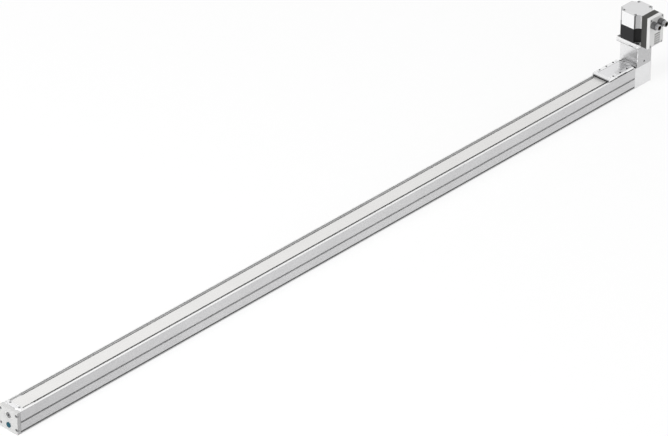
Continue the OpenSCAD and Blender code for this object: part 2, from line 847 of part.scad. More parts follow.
module motor_flange() {
    color("white") difference() {
        union() {
            translate([drive_x, 0, flange_z0]) rounded_plate(flange_w, flange_w, 1.5, flange_t);
            translate([drive_x, 0, flange_z0 - pilot_h + slip]) cylinder(r = pilot_r, h = pilot_h);
        }
        translate([drive_x, 0, flange_z0 - 2])
            cylinder(r = motor_bearing_ro + slip / 2, h = flange_t + 3);
        flange_screw_places() {
            translate([0, 0, flange_z0 - 1]) cylinder(r = 2 + slip, h = flange_t + 2);
            translate([0, 0, stator_z0 - flange_head_h]) cylinder(r = 4.4, h = flange_head_h + 1);
        }
    }
}

module flange_screws() {
    color("silver") flange_screw_places() translate([0, 0, stator_z0 - flange_head_h])
        socket_screw(2, flange_t + plate_t - flange_head_h - 0.5, 3.8, flange_head_h);
}

module motor_outline() {
    difference() {
        square(flange_w, center = true);
        for (sx = [-1, 1], sy = [-1, 1])
            translate([sx * flange_w / 2, sy * flange_w / 2]) circle(notch_r);
    }
}

module rear_cap_screw_places() {
    translate([drive_x, 0, 0]) at_corners(flange_w - 10.8, rear_screw_pitch) children();
}

module motor_stator() {
    color([0.16, 0.16, 0.16]) translate([drive_x, 0, stator_z0]) linear_extrude(stator_h)
        difference() {
            motor_outline();
            circle(stator_bore_r);
            for (sx = [-1, 1], sy = [-1, 1])
                translate([sx * (flange_w / 2 - 5.4), sy * rear_screw_pitch / 2]) circle(1.5 + slip);
        }
}

module motor_rear_cap() {
    color("whitesmoke") difference() {
        translate([drive_x, 0, rear_z0]) linear_extrude(rear_cap_h) motor_outline();
        translate([drive_x, 0, rear_z0 - 1]) cylinder(r = stator_bore_r, h = 4);
        translate([drive_x, 0, rear_z0])
            cylinder(r = motor_bearing_ro + slip / 2, h = 3 + motor_bearing_h);
        translate([drive_x, 0, rear_z0 + 8]) cylinder(r = 7, h = 10);
        rear_cap_screw_places() {
            translate([0, 0, rear_z0 - 1]) cylinder(r = 1.5 + slip, h = rear_cap_h + 2);
            translate([0, 0, motor_top - 1.6]) cylinder(r = 2.9, h = 3);
        }
    }
}

module rear_cap_screws() {
    color("silver") rear_cap_screw_places() translate([0, 0, motor_top - 1.6])
        socket_screw(1.5, rear_cap_h + stator_h - 8, 2.6, 2);
}

module motor_shaft() {
    shaft_z0 = coupling_z1 - hub_h + 1;
    color("lightsteelblue") translate([drive_x, 0, shaft_z0])
        cylinder(r = motor_shaft_r, h = rear_bearing_z + motor_bearing_h + 1 - shaft_z0);
}

module motor_rotor() {
    color("gray") translate([drive_x, 0, stator_z0 + 2]) difference() {
        ring(rotor_r, motor_shaft_r + press, stator_h - 3);
        translate([0, 0, (stator_h - 3) / 2 - 1]) ring(rotor_r + 1, rotor_r - 1, 2);
    }
}

module encoder_magnet() {
    color("darkslategray") translate([drive_x, 0, rear_bearing_z + motor_bearing_h + 1])
        cylinder(r = 4, h = 2.5);
}

// ---------- electronics ----------

module module_screw_places() {
    for (s = [-1, 1], z = module_screw_z)
        translate([module_mid_x + s * module_screw_x, 0, z]) children();
}

// The module's outline, one corner cut off, stands in XZ and is extruded along -Y
module module_box(y0, depth, inset) {
    w = module_len - 2 * inset;
    h = module_z1 - module_z0 - 2 * inset;
    shrink = inset * (module_corner_x + module_corner_z - norm([module_corner_x, module_corner_z]));
    cut_x = module_corner_x - shrink / module_corner_z;
    cut_z = module_corner_z - shrink / module_corner_x;
    translate([module_x0 + inset, y0, module_z0 + inset]) rotate([90, 0, 0])
        linear_extrude(depth) polygon([[0, 0], [w, 0], [w, h - cut_z], [w - cut_x, h], [0, h]]);
}

module module_body() {
    color("dimgray") difference() {
        module_box(module_y0, module_depth, 0);
        difference() {
            module_box(module_y0 - module_wall, module_depth, module_wall);
            module_screw_places() translate([0, module_y0, 0]) rotate([90, 0, 0])
                cylinder(r = module_boss_r, h = module_depth);
        }
        module_screw_places() translate([0, module_y1 + 8, 0]) rotate([90, 0, 0])
            cylinder(r = 1.25 + slip, h = 9);
        translate([drive_x, module_y0 + 1, rear_z0 + 16]) rotate([90, 0, 0]) cylinder(r = 4, h = 4);
    }
}

// Cover with a bevelled rim and level grooves across its lower half
module module_cover() {
    bevel = 2.2;
    color("lightgray") difference() {
        hull() {
            module_box(module_y1, cover_depth - bevel, 0);
            module_box(module_y1, cover_depth, bevel);
        }
        cover_grooves();
        module_box(module_y1 + 1, cover_depth - 1, module_wall + 7.5);
        module_screw_places() {
            translate([0, module_y1 + 1, 0]) rotate([90, 0, 0]) cylinder(r = 1.25 + slip, h = 8);
            translate([0, cover_y + 1.8, 0]) rotate([90, 0, 0]) cylinder(r = 2.4, h = 4);
        }
        for (x = connector_x) translate([x, module_y1 + 1, connector_z]) rotate([90, 0, 0])
            cylinder(r = connector_d / 2 - 1.5 + slip, h = cover_depth + 3);
    }
}

module cover_grooves() {
    for (i = [0:4]) translate([module_x1 - 19.7, cover_y + 0.8, module_z0 + 5.8 + i * 5.1])
        rotate([90, 0, 0]) rounded_plate(17, 2, 0.95, 2);
}

module module_screws() {
    color("gray") module_screw_places() translate([0, cover_y + 1.8, 0]) rotate([90, 0, 0])
        socket_screw(1.25, cover_depth + 4, 2.2, 1.6);
}

module circuit_board() {
    board_inset = module_wall + 0.5;
    board_y = module_y1 + 3;
    color("darkgreen") difference() {
        module_box(board_y, 1.6, board_inset);
        module_screw_places() translate([0, board_y + 1, 0]) rotate([90, 0, 0])
            cylinder(r = module_boss_r + slip, h = 4);
    }
}

// Round connector along -Y: spigot, wide collar and ringed tube
module connector_shell() {
    r = connector_d / 2;
    collar_h = connector_len * 0.55;
    rotate([90, 0, 0]) difference() {
        union() {
            translate([0, 0, -cover_depth]) cylinder(r = r - 1.5, h = cover_depth + 1);
            cylinder(r = r * 1.25, h = collar_h);
            cylinder(r = r, h = connector_len);
        }
        translate([0, 0, 5]) cylinder(r = connector_bore_r, h = connector_len);
        for (i = [0:2]) translate([0, 0, collar_h + 1 + i * 1.6]) ring(r + 1, r - 0.35, 0.7);
    }
}

module connector_places() {
    for (x = connector_x) translate([x, cover_y, connector_z]) children();
}

module connectors() {
    color("dimgray") connector_places() connector_shell();
}

module connector_inserts() {
    color("black") connector_places() rotate([90, 0, 0]) translate([0, 0, 5])
        difference() {
            cylinder(r = connector_bore_r - slip, h = connector_len - 8.5);
            pin_places() translate([0, 0, 1]) cylinder(r = 0.55, h = connector_len);
        }
}

module pin_places() {
    for (a = [45:90:315]) rotate(a) translate([2.3, 0, 0]) children();
}

module connector_pins() {
    color("gold") connector_places() rotate([90, 0, 0]) translate([0, 0, 6])
        pin_places() cylinder(r = 0.5, h = connector_len - 8);
}

// ---------- cover strip and end parts ----------

module cover_strip() {
    x0 = -half_len + 1;
    x1 = head_x0 + 5.5;
    color("silver") difference() {
        translate([x0, -strip_half, strip_z]) cube([x1 - x0, strip_w, strip_t]);
        clamp_screw_places() translate([0, 0, strip_z - 1]) cylinder(r = 1.25 + slip, h = 3);
    }
}

module clamp_screw_places() {
    for (x = [-half_len + 8, head_x0 + 3.2], s = [-1, 1])
        translate([x, s * clamp_screw_y, 0]) children();
}

module strip_clamps() {
    arc_r = 36;
    base_t = 0.7;
    rise = profile_h - strip_top;
    clamp_half = lip_half - clear / 2;
    color("whitesmoke") difference() {
        union() {
            translate([-half_len, -clamp_half, strip_top]) cube([tongue_len, 2 * clamp_half, base_t]);
            translate([-half_len, 0, strip_top]) linear_extrude(rise) intersection() {
                translate([0, -clamp_half]) square([tongue_len, 2 * clamp_half]);
                translate([arc_r + 0.1, 0]) circle(arc_r, $fn = 96);
            }
            translate([head_x0 - 1.6, -clamp_half, strip_top]) cube([7.2, 2 * clamp_half, rise]);
        }
        clamp_screw_places() translate([0, 0, profile_h]) flat_screw_hole(1.25, 5.4, 2.3);
        translate([-half_len + 9.4, -4.1, profile_h - 0.8]) cylinder(r = 0.9, h = 2);
    }
}

module strip_clamp_screws() {
    color("dimgray") clamp_screw_places() translate([0, 0, profile_h]) flat_screw(1.25, 5.4, 2.3);
}

module end_cap() {
    joint_t = 0.6;
    color("white") difference() {
        union() {
            translate([cap_x0, 0, 0]) along_x(cap_t - joint_t) block_outline(0, 0.8, 0.8);
            translate([cap_x0 + 1, 0, 0]) along_x(cap_t - 1) block_outline(0.4, 0.8, 0.8);
            translate([-half_len - 0.5, -cavity_half + clear, strip_z - tongue_t])
                cube([tongue_len + 0.5, 2 * (cavity_half - clear), tongue_t]);
        }
        translate([cap_x0 - 1, 0, 0]) end_screw_places() rotate([0, 90, 0]) {
            cylinder(r = 1.7, h = cap_t + 3);
            cylinder(r = 3.1, h = 4.6);
        }
        translate([cap_x0 - 1, 0, belt_mid]) rotate([0, 90, 0]) {
            cylinder(r = tension_screw_r + 0.3, h = cap_t + 3);
            cylinder(r = 5.5, h = 6);
            cylinder(r = 9.5, h = 1.3);
        }
        translate([cap_x0 - 1, 0, port_z]) rotate([0, 90, 0]) cylinder(d = port_d, h = cap_t + 3);
        translate([-half_len + 8, 0, 0]) both_y() translate([0, clamp_screw_y, strip_z - 5])
            cylinder(r = 1.25 + slip, h = 6);
    }
}

module end_cap_screws() {
    color("dimgray") translate([cap_x0 + 3.6, 0, 0]) end_screw_places()
        rotate([0, -90, 0]) socket_screw(1.5, 15, screw_head_r, 3);
}

module port_plug() {
    color([0.1, 0.38, 0.48]) translate([cap_x0, 0, port_z]) rotate([0, 90, 0]) {
        translate([0, 0, -1.2]) cylinder(r = 5, h = 1.2);
        translate([0, 0, -0.6]) cylinder(d = port_d - 2 * slip, h = 6);
    }
}

module tension_screw() {
    color("dimgray") translate([cap_x0 + 5, 0, belt_mid]) rotate([0, -90, 0])
        socket_screw(tension_screw_r, cap_t - 5 + 3 + carrier_wall - 1, 4.25, 4.6);
}

module drive_buffer() {
    z0 = seat_z - 5;
    color("black") translate([head_x0 - 5.5, -11, z0]) cube([5.5, 22, carriage_t + 3.6]);
}

// ---------- idler ----------

module idler_carrier() {
    window_z0 = belt_mid - belt_w / 2 - 1.9;
    window_z1 = belt_mid + belt_w / 2 + 1.9;
    length = carrier_front_x - carrier_back_x;
    color("lightgray") difference() {
        translate([carrier_back_x, 0, 0]) along_x(length) cavity_outline(clear, ledge_z - clear);
        translate([carrier_back_x + carrier_wall, -cavity_half, window_z0])
            cube([length, 2 * cavity_half, window_z1 - window_z0]);
        translate([carrier_back_x - 1, -cavity_half, strip_z - tongue_t - clear])
            cube([tongue_len - 3 + 1 + clear, 2 * cavity_half, 20]);
        translate([idler_x, 0, floor_t + 2]) cylinder(r = axle_r + press, h = profile_h);
        translate([carrier_back_x - 1, 0, belt_mid]) rotate([0, 90, 0])
            cylinder(r = tension_screw_r + slip, h = carrier_wall + 2);
    }
}

module idler_axle() {
    color("lightsteelblue") translate([idler_x, 0, floor_t + 2])
        cylinder(r = axle_r, h = ledge_z - clear - floor_t - 2);
}

module idler_bearing_places() {
    for (z = idler_bearing_z) translate([idler_x, 0, z]) children();
}

module idler_bearing_inner_rings() {
    color("silver") idler_bearing_places()
        inner_race(axle_r + press, idler_bearing_h, idler_ball_r, idler_path_r, idler_race_gap);
}

module idler_bearing_outer_rings() {
    color("silver") idler_bearing_places()
        outer_race(idler_bearing_ro, idler_bearing_h, idler_ball_r, idler_path_r, idler_race_gap);
}

module idler_balls() {
    color("whitesmoke") idler_bearing_places()
        ball_ring(8, idler_ball_r, idler_path_r, idler_bearing_h);
}

module idler_pulley() {
    color("silver") translate([idler_x, 0, 0]) pulley(idler_bearing_ro + press);
}

module idler_buffer() {
    color("black") translate([carrier_front_x, -10, floor_t + rail_h + 1])
        cube([5, 20, belt_z0 - 4 - floor_t - rail_h]);
}

profile();
guide_rail();
rail_screws();
cover_strip();
strip_clamps();
strip_clamp_screws();
end_cap();
end_cap_screws();
port_plug();
tension_screw();
drive_head();
drive_head_screws();
coupling_housing();
housing_screws();
adapter_plate();
plate_screws();
motor_flange();
flange_screws();
motor_stator();
motor_rear_cap();
rear_cap_screws();
module_body();
module_cover();
module_screws();
circuit_board();
connectors();
connector_inserts();
connector_pins();
bearing_outer_rings();
drive_buffer();
toothed_belt();
slide_table();
slide_plate();
slide_screws();
carriage();
runner_block();
runner_end_caps();
runner_balls();
runner_screws();
belt_clamp();
belt_clamp_screws();
strip_wipers();
drive_pulley();
drive_shaft();
coupling_hubs();
coupling_spider();
coupling_screws();
motor_shaft();
motor_rotor();
encoder_magnet();
bearing_inner_rings();
bearing_balls();
idler_carrier();
idler_axle();
idler_bearing_inner_rings();
idler_buffer();
idler_pulley();
idler_bearing_outer_rings();
idler_balls();
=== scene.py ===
"""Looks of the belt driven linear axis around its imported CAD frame."""
import json
import math

import bmesh
import bpy
from mathutils import Matrix, Vector


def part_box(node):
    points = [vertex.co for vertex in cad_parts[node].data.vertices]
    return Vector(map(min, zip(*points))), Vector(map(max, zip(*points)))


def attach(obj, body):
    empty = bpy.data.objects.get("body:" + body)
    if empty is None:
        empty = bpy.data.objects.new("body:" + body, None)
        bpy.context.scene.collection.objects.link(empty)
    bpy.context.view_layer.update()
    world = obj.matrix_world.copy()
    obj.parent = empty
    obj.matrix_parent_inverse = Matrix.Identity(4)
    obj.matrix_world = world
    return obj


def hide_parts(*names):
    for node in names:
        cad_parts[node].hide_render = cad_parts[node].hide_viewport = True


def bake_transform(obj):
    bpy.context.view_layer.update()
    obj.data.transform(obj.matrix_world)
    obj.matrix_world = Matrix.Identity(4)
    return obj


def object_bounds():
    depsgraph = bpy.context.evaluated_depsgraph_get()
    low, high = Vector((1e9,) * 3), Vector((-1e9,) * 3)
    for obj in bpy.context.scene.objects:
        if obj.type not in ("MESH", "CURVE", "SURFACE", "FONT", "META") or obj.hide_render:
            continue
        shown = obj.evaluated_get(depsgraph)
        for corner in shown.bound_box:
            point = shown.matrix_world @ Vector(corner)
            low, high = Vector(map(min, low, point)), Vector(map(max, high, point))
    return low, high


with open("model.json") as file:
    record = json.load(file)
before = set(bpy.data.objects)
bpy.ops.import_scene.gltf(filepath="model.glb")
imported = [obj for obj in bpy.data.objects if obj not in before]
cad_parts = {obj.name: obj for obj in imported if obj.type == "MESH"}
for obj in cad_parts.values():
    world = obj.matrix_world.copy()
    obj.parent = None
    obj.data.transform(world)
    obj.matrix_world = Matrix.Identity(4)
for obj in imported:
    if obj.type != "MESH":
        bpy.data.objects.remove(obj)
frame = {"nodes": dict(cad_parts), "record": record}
cad_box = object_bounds()
nodes = frame["nodes"]
scene = bpy.context.scene

# ---------- materials ----------

# Noise cells per metre along X, Y and Z
GRAIN_X = (40, 2600, 2600)
GRAIN_FINE = (2200, 2200, 2200)
GRAIN_ROUND = (1500, 1500, 9000)
GRAIN_SHEETS = (300, 300, 4200)
CLOUDS = (18, 18, 18)
NOISE_ROUGHNESS = 0.55
FINE_SHARE = 0.6
BUMP_DEPTH = 0.00002
BUMP_STRENGTH = 0.25
# Half the width over which a mask fades, in metres
SOFT_EDGE = 0.0002
# Radius of the round notches in the motor's four upright corners
NOTCH_R = 0.0115
# Ends of the slot at the adapter plate's lower edge
SLOT_Y = (-0.0144, -0.0062)
# Radius of the bore that a hex key goes in by, a little over its 2 mm
ACCESS_R = 0.0021


class Tree:
    """A short way to write a node tree."""

    def __init__(self, tree):
        self.tree = tree

    def add(self, kind, **values):
        node = self.tree.nodes.new(kind)
        for key, value in values.items():
            setattr(node, key, value)
        return node

    def link(self, a, b):
        self.tree.links.new(a, b)

    def remap(self, value, low, high, from_low=0.3, from_high=0.7):
        """low to high as value goes from from_low to from_high, or over a noise's usual span."""
        node = self.add("ShaderNodeMapRange")
        for key, number in (("From Min", from_low), ("From Max", from_high),
                            ("To Min", low), ("To Max", high)):
            node.inputs[key].default_value = number
        self.link(value, node.inputs["Value"])
        return node.outputs["Result"]

    def math(self, operation, a, b):
        node = self.add("ShaderNodeMath", operation=operation)
        for slot, value in enumerate((a, b)):
            if isinstance(value, (int, float)):
                node.inputs[slot].default_value = value
            else:
                self.link(value, node.inputs[slot])
        return node.outputs["Value"]

    def seen(self):
        """1 for a ray that comes from the camera or off a glossy face, else 0."""
        path = self.add("ShaderNodeLightPath")
        return self.math("MAXIMUM", path.outputs["Is Camera Ray"], path.outputs["Is Glossy Ray"])

    def hypotenuse(self, a, b):
        squares = self.math("ADD", self.math("MULTIPLY", a, a), self.math("MULTIPLY", b, b))
        return self.math("SQRT", squares, 0)


class Nodes(Tree):
    """A material's node tree, with the masks that mark areas of its piece."""

    def __init__(self, name):
        self.mat = bpy.data.materials.new(name)
        self.mat.use_nodes = True
        super().__init__(self.mat.node_tree)
        self.bsdf = self.tree.nodes["Principled BSDF"]
        self.coord = self.add("ShaderNodeTexCoord").outputs["Object"]

    def noise(self, cells, detail):
        """Noise with that many cells per metre along X, Y and Z."""
        mapping = self.add("ShaderNodeMapping")
        mapping.inputs["Scale"].default_value = cells
        self.link(self.coord, mapping.inputs["Vector"])
        node = self.add("ShaderNodeTexNoise")
        for key, number in (("Scale", 1.0), ("Detail", detail), ("Roughness", NOISE_ROUGHNESS)):
            node.inputs[key].default_value = number
        self.link(mapping.outputs["Vector"], node.inputs["Vector"])
        return node.outputs["Fac"]

    def mix(self, factor, a, b):
        node = self.add("ShaderNodeMix", data_type="RGBA")
        self.link(factor, node.inputs["Factor"])
        for key, value in (("A", a), ("B", b)):
            socket = [i for i in node.inputs if i.name == key and i.type == "RGBA"][0]
            if isinstance(value, tuple):
                socket.default_value = (*value, 1)
            else:
                self.link(value, socket)
        return [o for o in node.outputs if o.type == "RGBA"][0]

    def place(self):
        """The surface point's object coordinates, which are the part's own metres."""
        node = self.add("ShaderNodeSeparateXYZ")
        self.link(self.coord, node.inputs["Vector"])
        return node.outputs["X"], node.outputs["Y"], node.outputs["Z"]

    def facing(self, axis, sign=1):
        """Mask of the faces that look along the axis, or against it with sign -1."""
        node = self.add("ShaderNodeSeparateXYZ")
        self.link(self.add("ShaderNodeTexCoord").outputs["Normal"], node.inputs["Vector"])
        return self.remap(node.outputs[axis], 0, 1, 0.75 * sign, 0.95 * sign)

    def above(self, value, edge, soft=SOFT_EDGE):
        return self.remap(value, 0, 1, edge - soft, edge + soft)

    def within(self, value, middle, half, soft=SOFT_EDGE):
        off = self.math("ABSOLUTE", self.math("SUBTRACT", value, middle), 0)
        return self.remap(off, 1, 0, half - soft, half + soft)

    def all_of(self, *masks):
        result = masks[0]
        for mask in masks[1:]:
            result = self.math("MULTIPLY", result, mask)
        return result

    def bump(self, height):
        node = self.add("ShaderNodeBump")
        node.inputs["Strength"].default_value = BUMP_STRENGTH
        node.inputs["Distance"].default_value = BUMP_DEPTH
        self.link(height, node.inputs["Height"])
        return node.outputs["Normal"]


def shades(color, spread):
    """The darker and the lighter end of a colour."""
    return tuple(c * (1 - spread) for c in color), tuple(min(1, c * (1 + spread)) for c in color)


def surface(name, color, metallic, rough, grain, spread=0.06, rough_spread=0.08, specular=None,
            areas=None):
    """A finish with a fine grain under slow cloudy changes of tone.

    spread and rough_spread are how far the tone and the roughness stray. areas(n) gives pairs
    of a mask and the colour painted there, much of it painted light and shade, and later pairs lie
    on top."""
    n = Nodes(name)
    fine = n.noise(grain, detail=4)
    slow = n.noise(CLOUDS, detail=2)
    both = n.math("ADD", n.math("MULTIPLY", fine, FINE_SHARE),
                  n.math("MULTIPLY", slow, 1 - FINE_SHARE))
    shade = n.remap(both, 0, 1)
    tone = n.mix(shade, *shades(color, spread))
    for mask, other in (areas(n) if areas else ()):
        tone = n.mix(mask, tone, n.mix(shade, *shades(other, spread)))
    gloss = n.remap(fine, rough - rough_spread, rough + rough_spread)
    n.link(tone, n.bsdf.inputs["Base Color"])
    n.link(gloss, n.bsdf.inputs["Roughness"])
    n.link(n.bump(fine), n.bsdf.inputs["Normal"])
    n.bsdf.inputs["Metallic"].default_value = metallic
    if specular is not None:
        n.bsdf.inputs["Specular IOR Level"].default_value = specular
    return n.mat


def profile_marks(n):
    """Painted highlight on the lip tops, painted light inside, painted shade in the low grooves
    and towards the idler end.
    """
    low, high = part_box("profile")
    x, y, z = n.place()
    shade_length, shade_share = 0.42, 0.8
    # Painted shade, fading out from the idler end
    idler_end_shade = n.remap(x, shade_share, 0, low[0], low[0] + shade_length)
    # Painted light: the inside is painted paler than the plain tone, and the lip walls keep the
    # plain tone
    inside = n.within(y, 0, 0.0182)
    lip_wall = n.all_of(n.within(y, 0, 0.0195), n.above(z, high[2] - 0.0031))
    # Painted shade in the low grooves
    low_groove = n.all_of(n.within(y, 0, 0.0218), n.within(z, 0.0043, 0.0021))
    # Painted highlight on the lip tops
    lip_top = n.above(z, high[2] - 0.0008)
    return [(idler_end_shade, (0.47, 0.47, 0.475)), (inside, (0.93, 0.93, 0.93)),
            (lip_wall, (0.6, 0.6, 0.6)), (low_groove, (0.33, 0.33, 0.33)),
            (lip_top, (0.85, 0.85, 0.85))]


def slide_marks(n):
    """Painted shade on the faces toward the idler end, in the thread bores, in a recess and along
    the lower edge of each side.
    """
    low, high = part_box("slide_table")
    middle = (low[0] + high[0]) / 2
    x, y, z = n.place()
    across = n.math("ABSOLUTE", y, 0)
    row_y = 0.0175
    # Painted shade in the thread bores
    bores = n.all_of(n.within(x, middle, 0.0235), n.within(across, row_y, 0.0024),
                     n.within(z, high[2] - 0.0034, 0.0031, 0.00005))
    # Painted shade in the recess along each side
    recess = n.all_of(n.within(x, middle, 0.0205),
                      n.within(across, high[1] - 0.0015, 0.0006, 0.00005),
                      n.within(z, low[2] + 0.0015, 0.0014))
    # Painted shade along the lower edge of each side, next to the gap's shade strips
    edge = n.all_of(n.above(across, high[1] - 0.0003, 0.0001),
                    n.remap(z, 1, 0, low[2] + 0.0008, low[2] + 0.0009))
    # Painted shade on the faces toward the idler end
    return [(n.facing("X", -1), (0.36, 0.36, 0.365)), (bores, (0.05, 0.05, 0.05)),
            (recess, (0.36, 0.36, 0.37)), (edge, (0.03, 0.03, 0.03))]


def notches(n, node):
    """Mask of the round notches in a square node's four upright corners."""
    low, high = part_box(node)
    x, y, z = n.place()
    away = []
    for value, axis in ((x, 0), (y, 1)):
        off = n.math("ABSOLUTE", n.math("SUBTRACT", value, (low[axis] + high[axis]) / 2), 0)
        away.append(n.math("SUBTRACT", off, (high[axis] - low[axis]) / 2))
    return n.within(n.hypotenuse(*away), NOTCH_R, 0.0003, 0.0001)


def stator_marks(n):
    # Painted shade: the notches are painted black
    return [(notches(n, "motor_stator"), (0.008, 0.008, 0.008))]


def rear_cap_marks(n):
    """Painted shade on the motor's rear cap: darker notches and a darker top."""
    # Painted shade: the notches and the top are painted darker than the cap
    return [(notches(n, "motor_rear_cap"), (0.46, 0.46, 0.465)),
            (n.facing("Z"), (0.70, 0.70, 0.705))]


def plate_marks(n):
    """The adapter plate's dark upper parting line, painted shade along its lower rim, and painted
    shade on its slot's walls.
    """
    low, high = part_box("adapter_plate")
    middle = (low[0] + high[0]) / 2
    x, y, z = n.place()
    line = n.above(z, high[2] - 0.0004, 0.00005)
    # Painted shade along the lower rim
    rim = n.remap(z, 1, 0, low[2] + 0.0009, low[2] + 0.001)
    # Painted shade on the slot's walls
    slot = n.all_of(n.within(y, (SLOT_Y[0] + SLOT_Y[1]) / 2, 0.0043, 0.00005),
                    n.within(z, low[2] + 0.001, 0.00103, 0.00003),
                    n.remap(x, 1, 0, middle - 0.001, middle))
    return [(line, (0.3, 0.3, 0.3)), (rim, (0.2, 0.2, 0.2)), (slot, (0.015, 0.015, 0.015))]


def housing_marks(n):
    """Painted shade on the electronics side, and in the bore that a hex key goes in by."""
    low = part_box("coupling_housing")[0]
    bore = next(mount for mount in frame["record"]["mounts"] if mount["name"] == "coupling_access")
    x, y, z = n.place()
    away = n.hypotenuse(n.math("SUBTRACT", x, bore["pos_m"][0]),
                        n.math("SUBTRACT", z, bore["pos_m"][2]))
    # Painted shade in the bore
    inside = n.all_of(n.remap(away, 1, 0, ACCESS_R, ACCESS_R + 0.0001),
                      n.above(y, low[1] + 0.0003, 0.0001), n.remap(y, 1, 0, -0.001, 0))
    return [(n.facing("Y", -1), (0.52, 0.52, 0.525)), (inside, (0.04, 0.04, 0.04))]


def cover_marks(n):
    """Painted shade on the electronics cover's outer face, and its dark slots."""
    low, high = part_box("module_cover")
    x, y, z = n.place()
    grooves = n.all_of(n.within(x, high[0] - 0.0197, 0.0088), n.within(z, low[2] + 0.016, 0.0118),
                       n.within(y, low[1] + 0.00058, 0.0004, 0.00005))
    return [(n.facing("Y", -1), (0.68, 0.68, 0.675)), (grooves, (0.03, 0.03, 0.03))]


def connector_marks(n):
    """A bright tube on the dark collar, and painted shade in its black bore."""
    low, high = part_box("connectors")
    reach = (high[2] - low[2]) / 2
    x, y, z = n.place()
    off = n.math("ABSOLUTE", n.math("SUBTRACT", x, (low[0] + high[0]) / 2), 0)
    aside = n.math("SUBTRACT", off, (high[0] - low[0]) / 2 - reach)
    away = n.hypotenuse(aside, n.math("SUBTRACT", z, (low[2] + high[2]) / 2))
    tube = n.remap(y, 1, 0, low[1] + 0.0068, low[1] + 0.0072)
    # Painted shade in the bore
    bore = n.remap(away, 1, 0, reach * 0.62, reach * 0.64)
    return [(tube, (0.42, 0.42, 0.43)), (bore, (0.01, 0.01, 0.01))]


def painted_front_shade(color):
    """Painted shade on the face on the electronics side."""
    return lambda n: [(n.facing("Y", -1), color)]


looks = {
    "anodised": surface("extruded_aluminium", (0.60, 0.60, 0.605), 0.45, 0.4, GRAIN_X,
                        areas=profile_marks),
    "housing_alu": surface("machined_aluminium", (0.80, 0.80, 0.805), 0.6, 0.26, GRAIN_FINE,
                           spread=0.03, rough_spread=0.04),
    "slide_alu": surface("slide_aluminium", (0.87, 0.87, 0.875), 0.65, 0.24, GRAIN_X,
                         spread=0.04, areas=slide_marks),
    "inlay_steel": surface("inlay_sheet", (0.74, 0.74, 0.75), 0.95, 0.22, GRAIN_X,
                           spread=0.03, rough_spread=0.03),
    "strip_steel": surface("strip_steel", (0.745, 0.74, 0.73), 0.35, 0.32, GRAIN_X, spread=0.03),
    "rail_steel": surface("ground_steel", (0.55, 0.55, 0.56), 0.9, 0.3, GRAIN_X),
    "shaft_steel": surface("shaft_steel", (0.6, 0.6, 0.61), 0.95, 0.22, GRAIN_ROUND),
    "bearing_steel": surface("bearing_steel", (0.7, 0.7, 0.71), 1.0, 0.14, GRAIN_ROUND,
                             spread=0.02, rough_spread=0.03),
    "screws": surface("zinc_plate", (0.30, 0.30, 0.305), 0.85, 0.32, GRAIN_FINE),
    "lamination": surface("black_sheet_stack", (0.02, 0.02, 0.021), 0.0, 0.5, GRAIN_SHEETS,
                          specular=0.2, areas=stator_marks),
    "module_plastic": surface("dark_housing", (0.055, 0.0545, 0.051), 0.0, 0.55, GRAIN_FINE,
                              specular=0.25),
    "module_cover": surface("cover_grey", (0.76, 0.76, 0.755), 0.2, 0.42, GRAIN_FINE,
                            areas=cover_marks),
    "board": surface("board_green", (0.03, 0.16, 0.07), 0.0, 0.35, GRAIN_FINE),
    "connector_metal": surface("dark_nickel", (0.14, 0.14, 0.143), 0.7, 0.32, GRAIN_ROUND,
                               areas=connector_marks),
    "black_plastic": surface("black_plastic", (0.008, 0.008, 0.008), 0.0, 0.5, GRAIN_FINE,
                             specular=0.2),
    "contact_brass": surface("contact_gold", (0.30, 0.19, 0.06), 1.0, 0.3, GRAIN_FINE),
    "teal_plastic": surface("teal_plastic", (0.01, 0.075, 0.11), 0.0, 0.45, GRAIN_FINE,
                            specular=0.15),
    "buffer_rubber": surface("buffer_rubber", (0.018, 0.018, 0.018), 0.0, 0.65, GRAIN_FINE),
    "belt_rubber": surface("belt_rubber", (0.014, 0.014, 0.0145), 0.0, 0.7, GRAIN_X,
                           specular=0.2),
    "runner_plastic": surface("runner_plastic", (0.03, 0.18, 0.09), 0.0, 0.4, GRAIN_FINE),
    "spider_rubber": surface("spider_rubber", (0.4, 0.02, 0.02), 0.0, 0.5, GRAIN_FINE),
    "magnet": surface("magnet_nickel", (0.25, 0.26, 0.27), 0.9, 0.25, GRAIN_FINE),
}
# Nodes whose finish differs from the rest of their slot
own_finish = {
    "end_cap": surface("cast_end_cap", (0.61, 0.61, 0.605), 0.35, 0.42, GRAIN_FINE,
                       areas=painted_front_shade((0.38, 0.38, 0.38))),
    "drive_head": surface("blasted_drive_head", (0.80, 0.80, 0.805), 0.4, 0.3, GRAIN_FINE,
                          spread=0.03),
    "coupling_housing": surface("milled_housing", (0.84, 0.84, 0.845), 0.85, 0.27, GRAIN_FINE,
                                spread=0.02, rough_spread=0.03, areas=housing_marks),
    "motor_rear_cap": surface("painted_rear_cap", (0.93, 0.93, 0.935), 0.85, 0.17, GRAIN_FINE,
                              spread=0.02, rough_spread=0.03, areas=rear_cap_marks),
    "motor_flange": surface("turned_flange", (0.84, 0.84, 0.845), 0.6, 0.24, GRAIN_FINE,
                            spread=0.03, rough_spread=0.04),
    "adapter_plate": surface("turned_plate", (0.84, 0.84, 0.845), 0.6, 0.24, GRAIN_FINE,
                             spread=0.03, rough_spread=0.04, areas=plate_marks),
    "toothed_belt": surface("pale_polyurethane", (0.84, 0.84, 0.83), 0.0, 0.5, GRAIN_X,
                            spread=0.04),
}

slot_of = {part["node"]: part["material_slot"] for part in frame["record"]["subparts"]}
for name, node in nodes.items():
    material = own_finish.get(name) or looks[slot_of[name]]
    for index in range(len(node.data.materials)):
        node.data.materials[index] = material
    if not node.data.materials:
        node.data.materials.append(material)

# ---------- black strips as painted shade under the slide's long edges, two stop pads that also stand as painted shade, and a black block as painted shade in the plate's slot ---

CORNER_STEPS = 4


def put(name, data):
    obj = bpy.data.objects.new(name, data)
    scene.collection.objects.link(obj)
    return obj


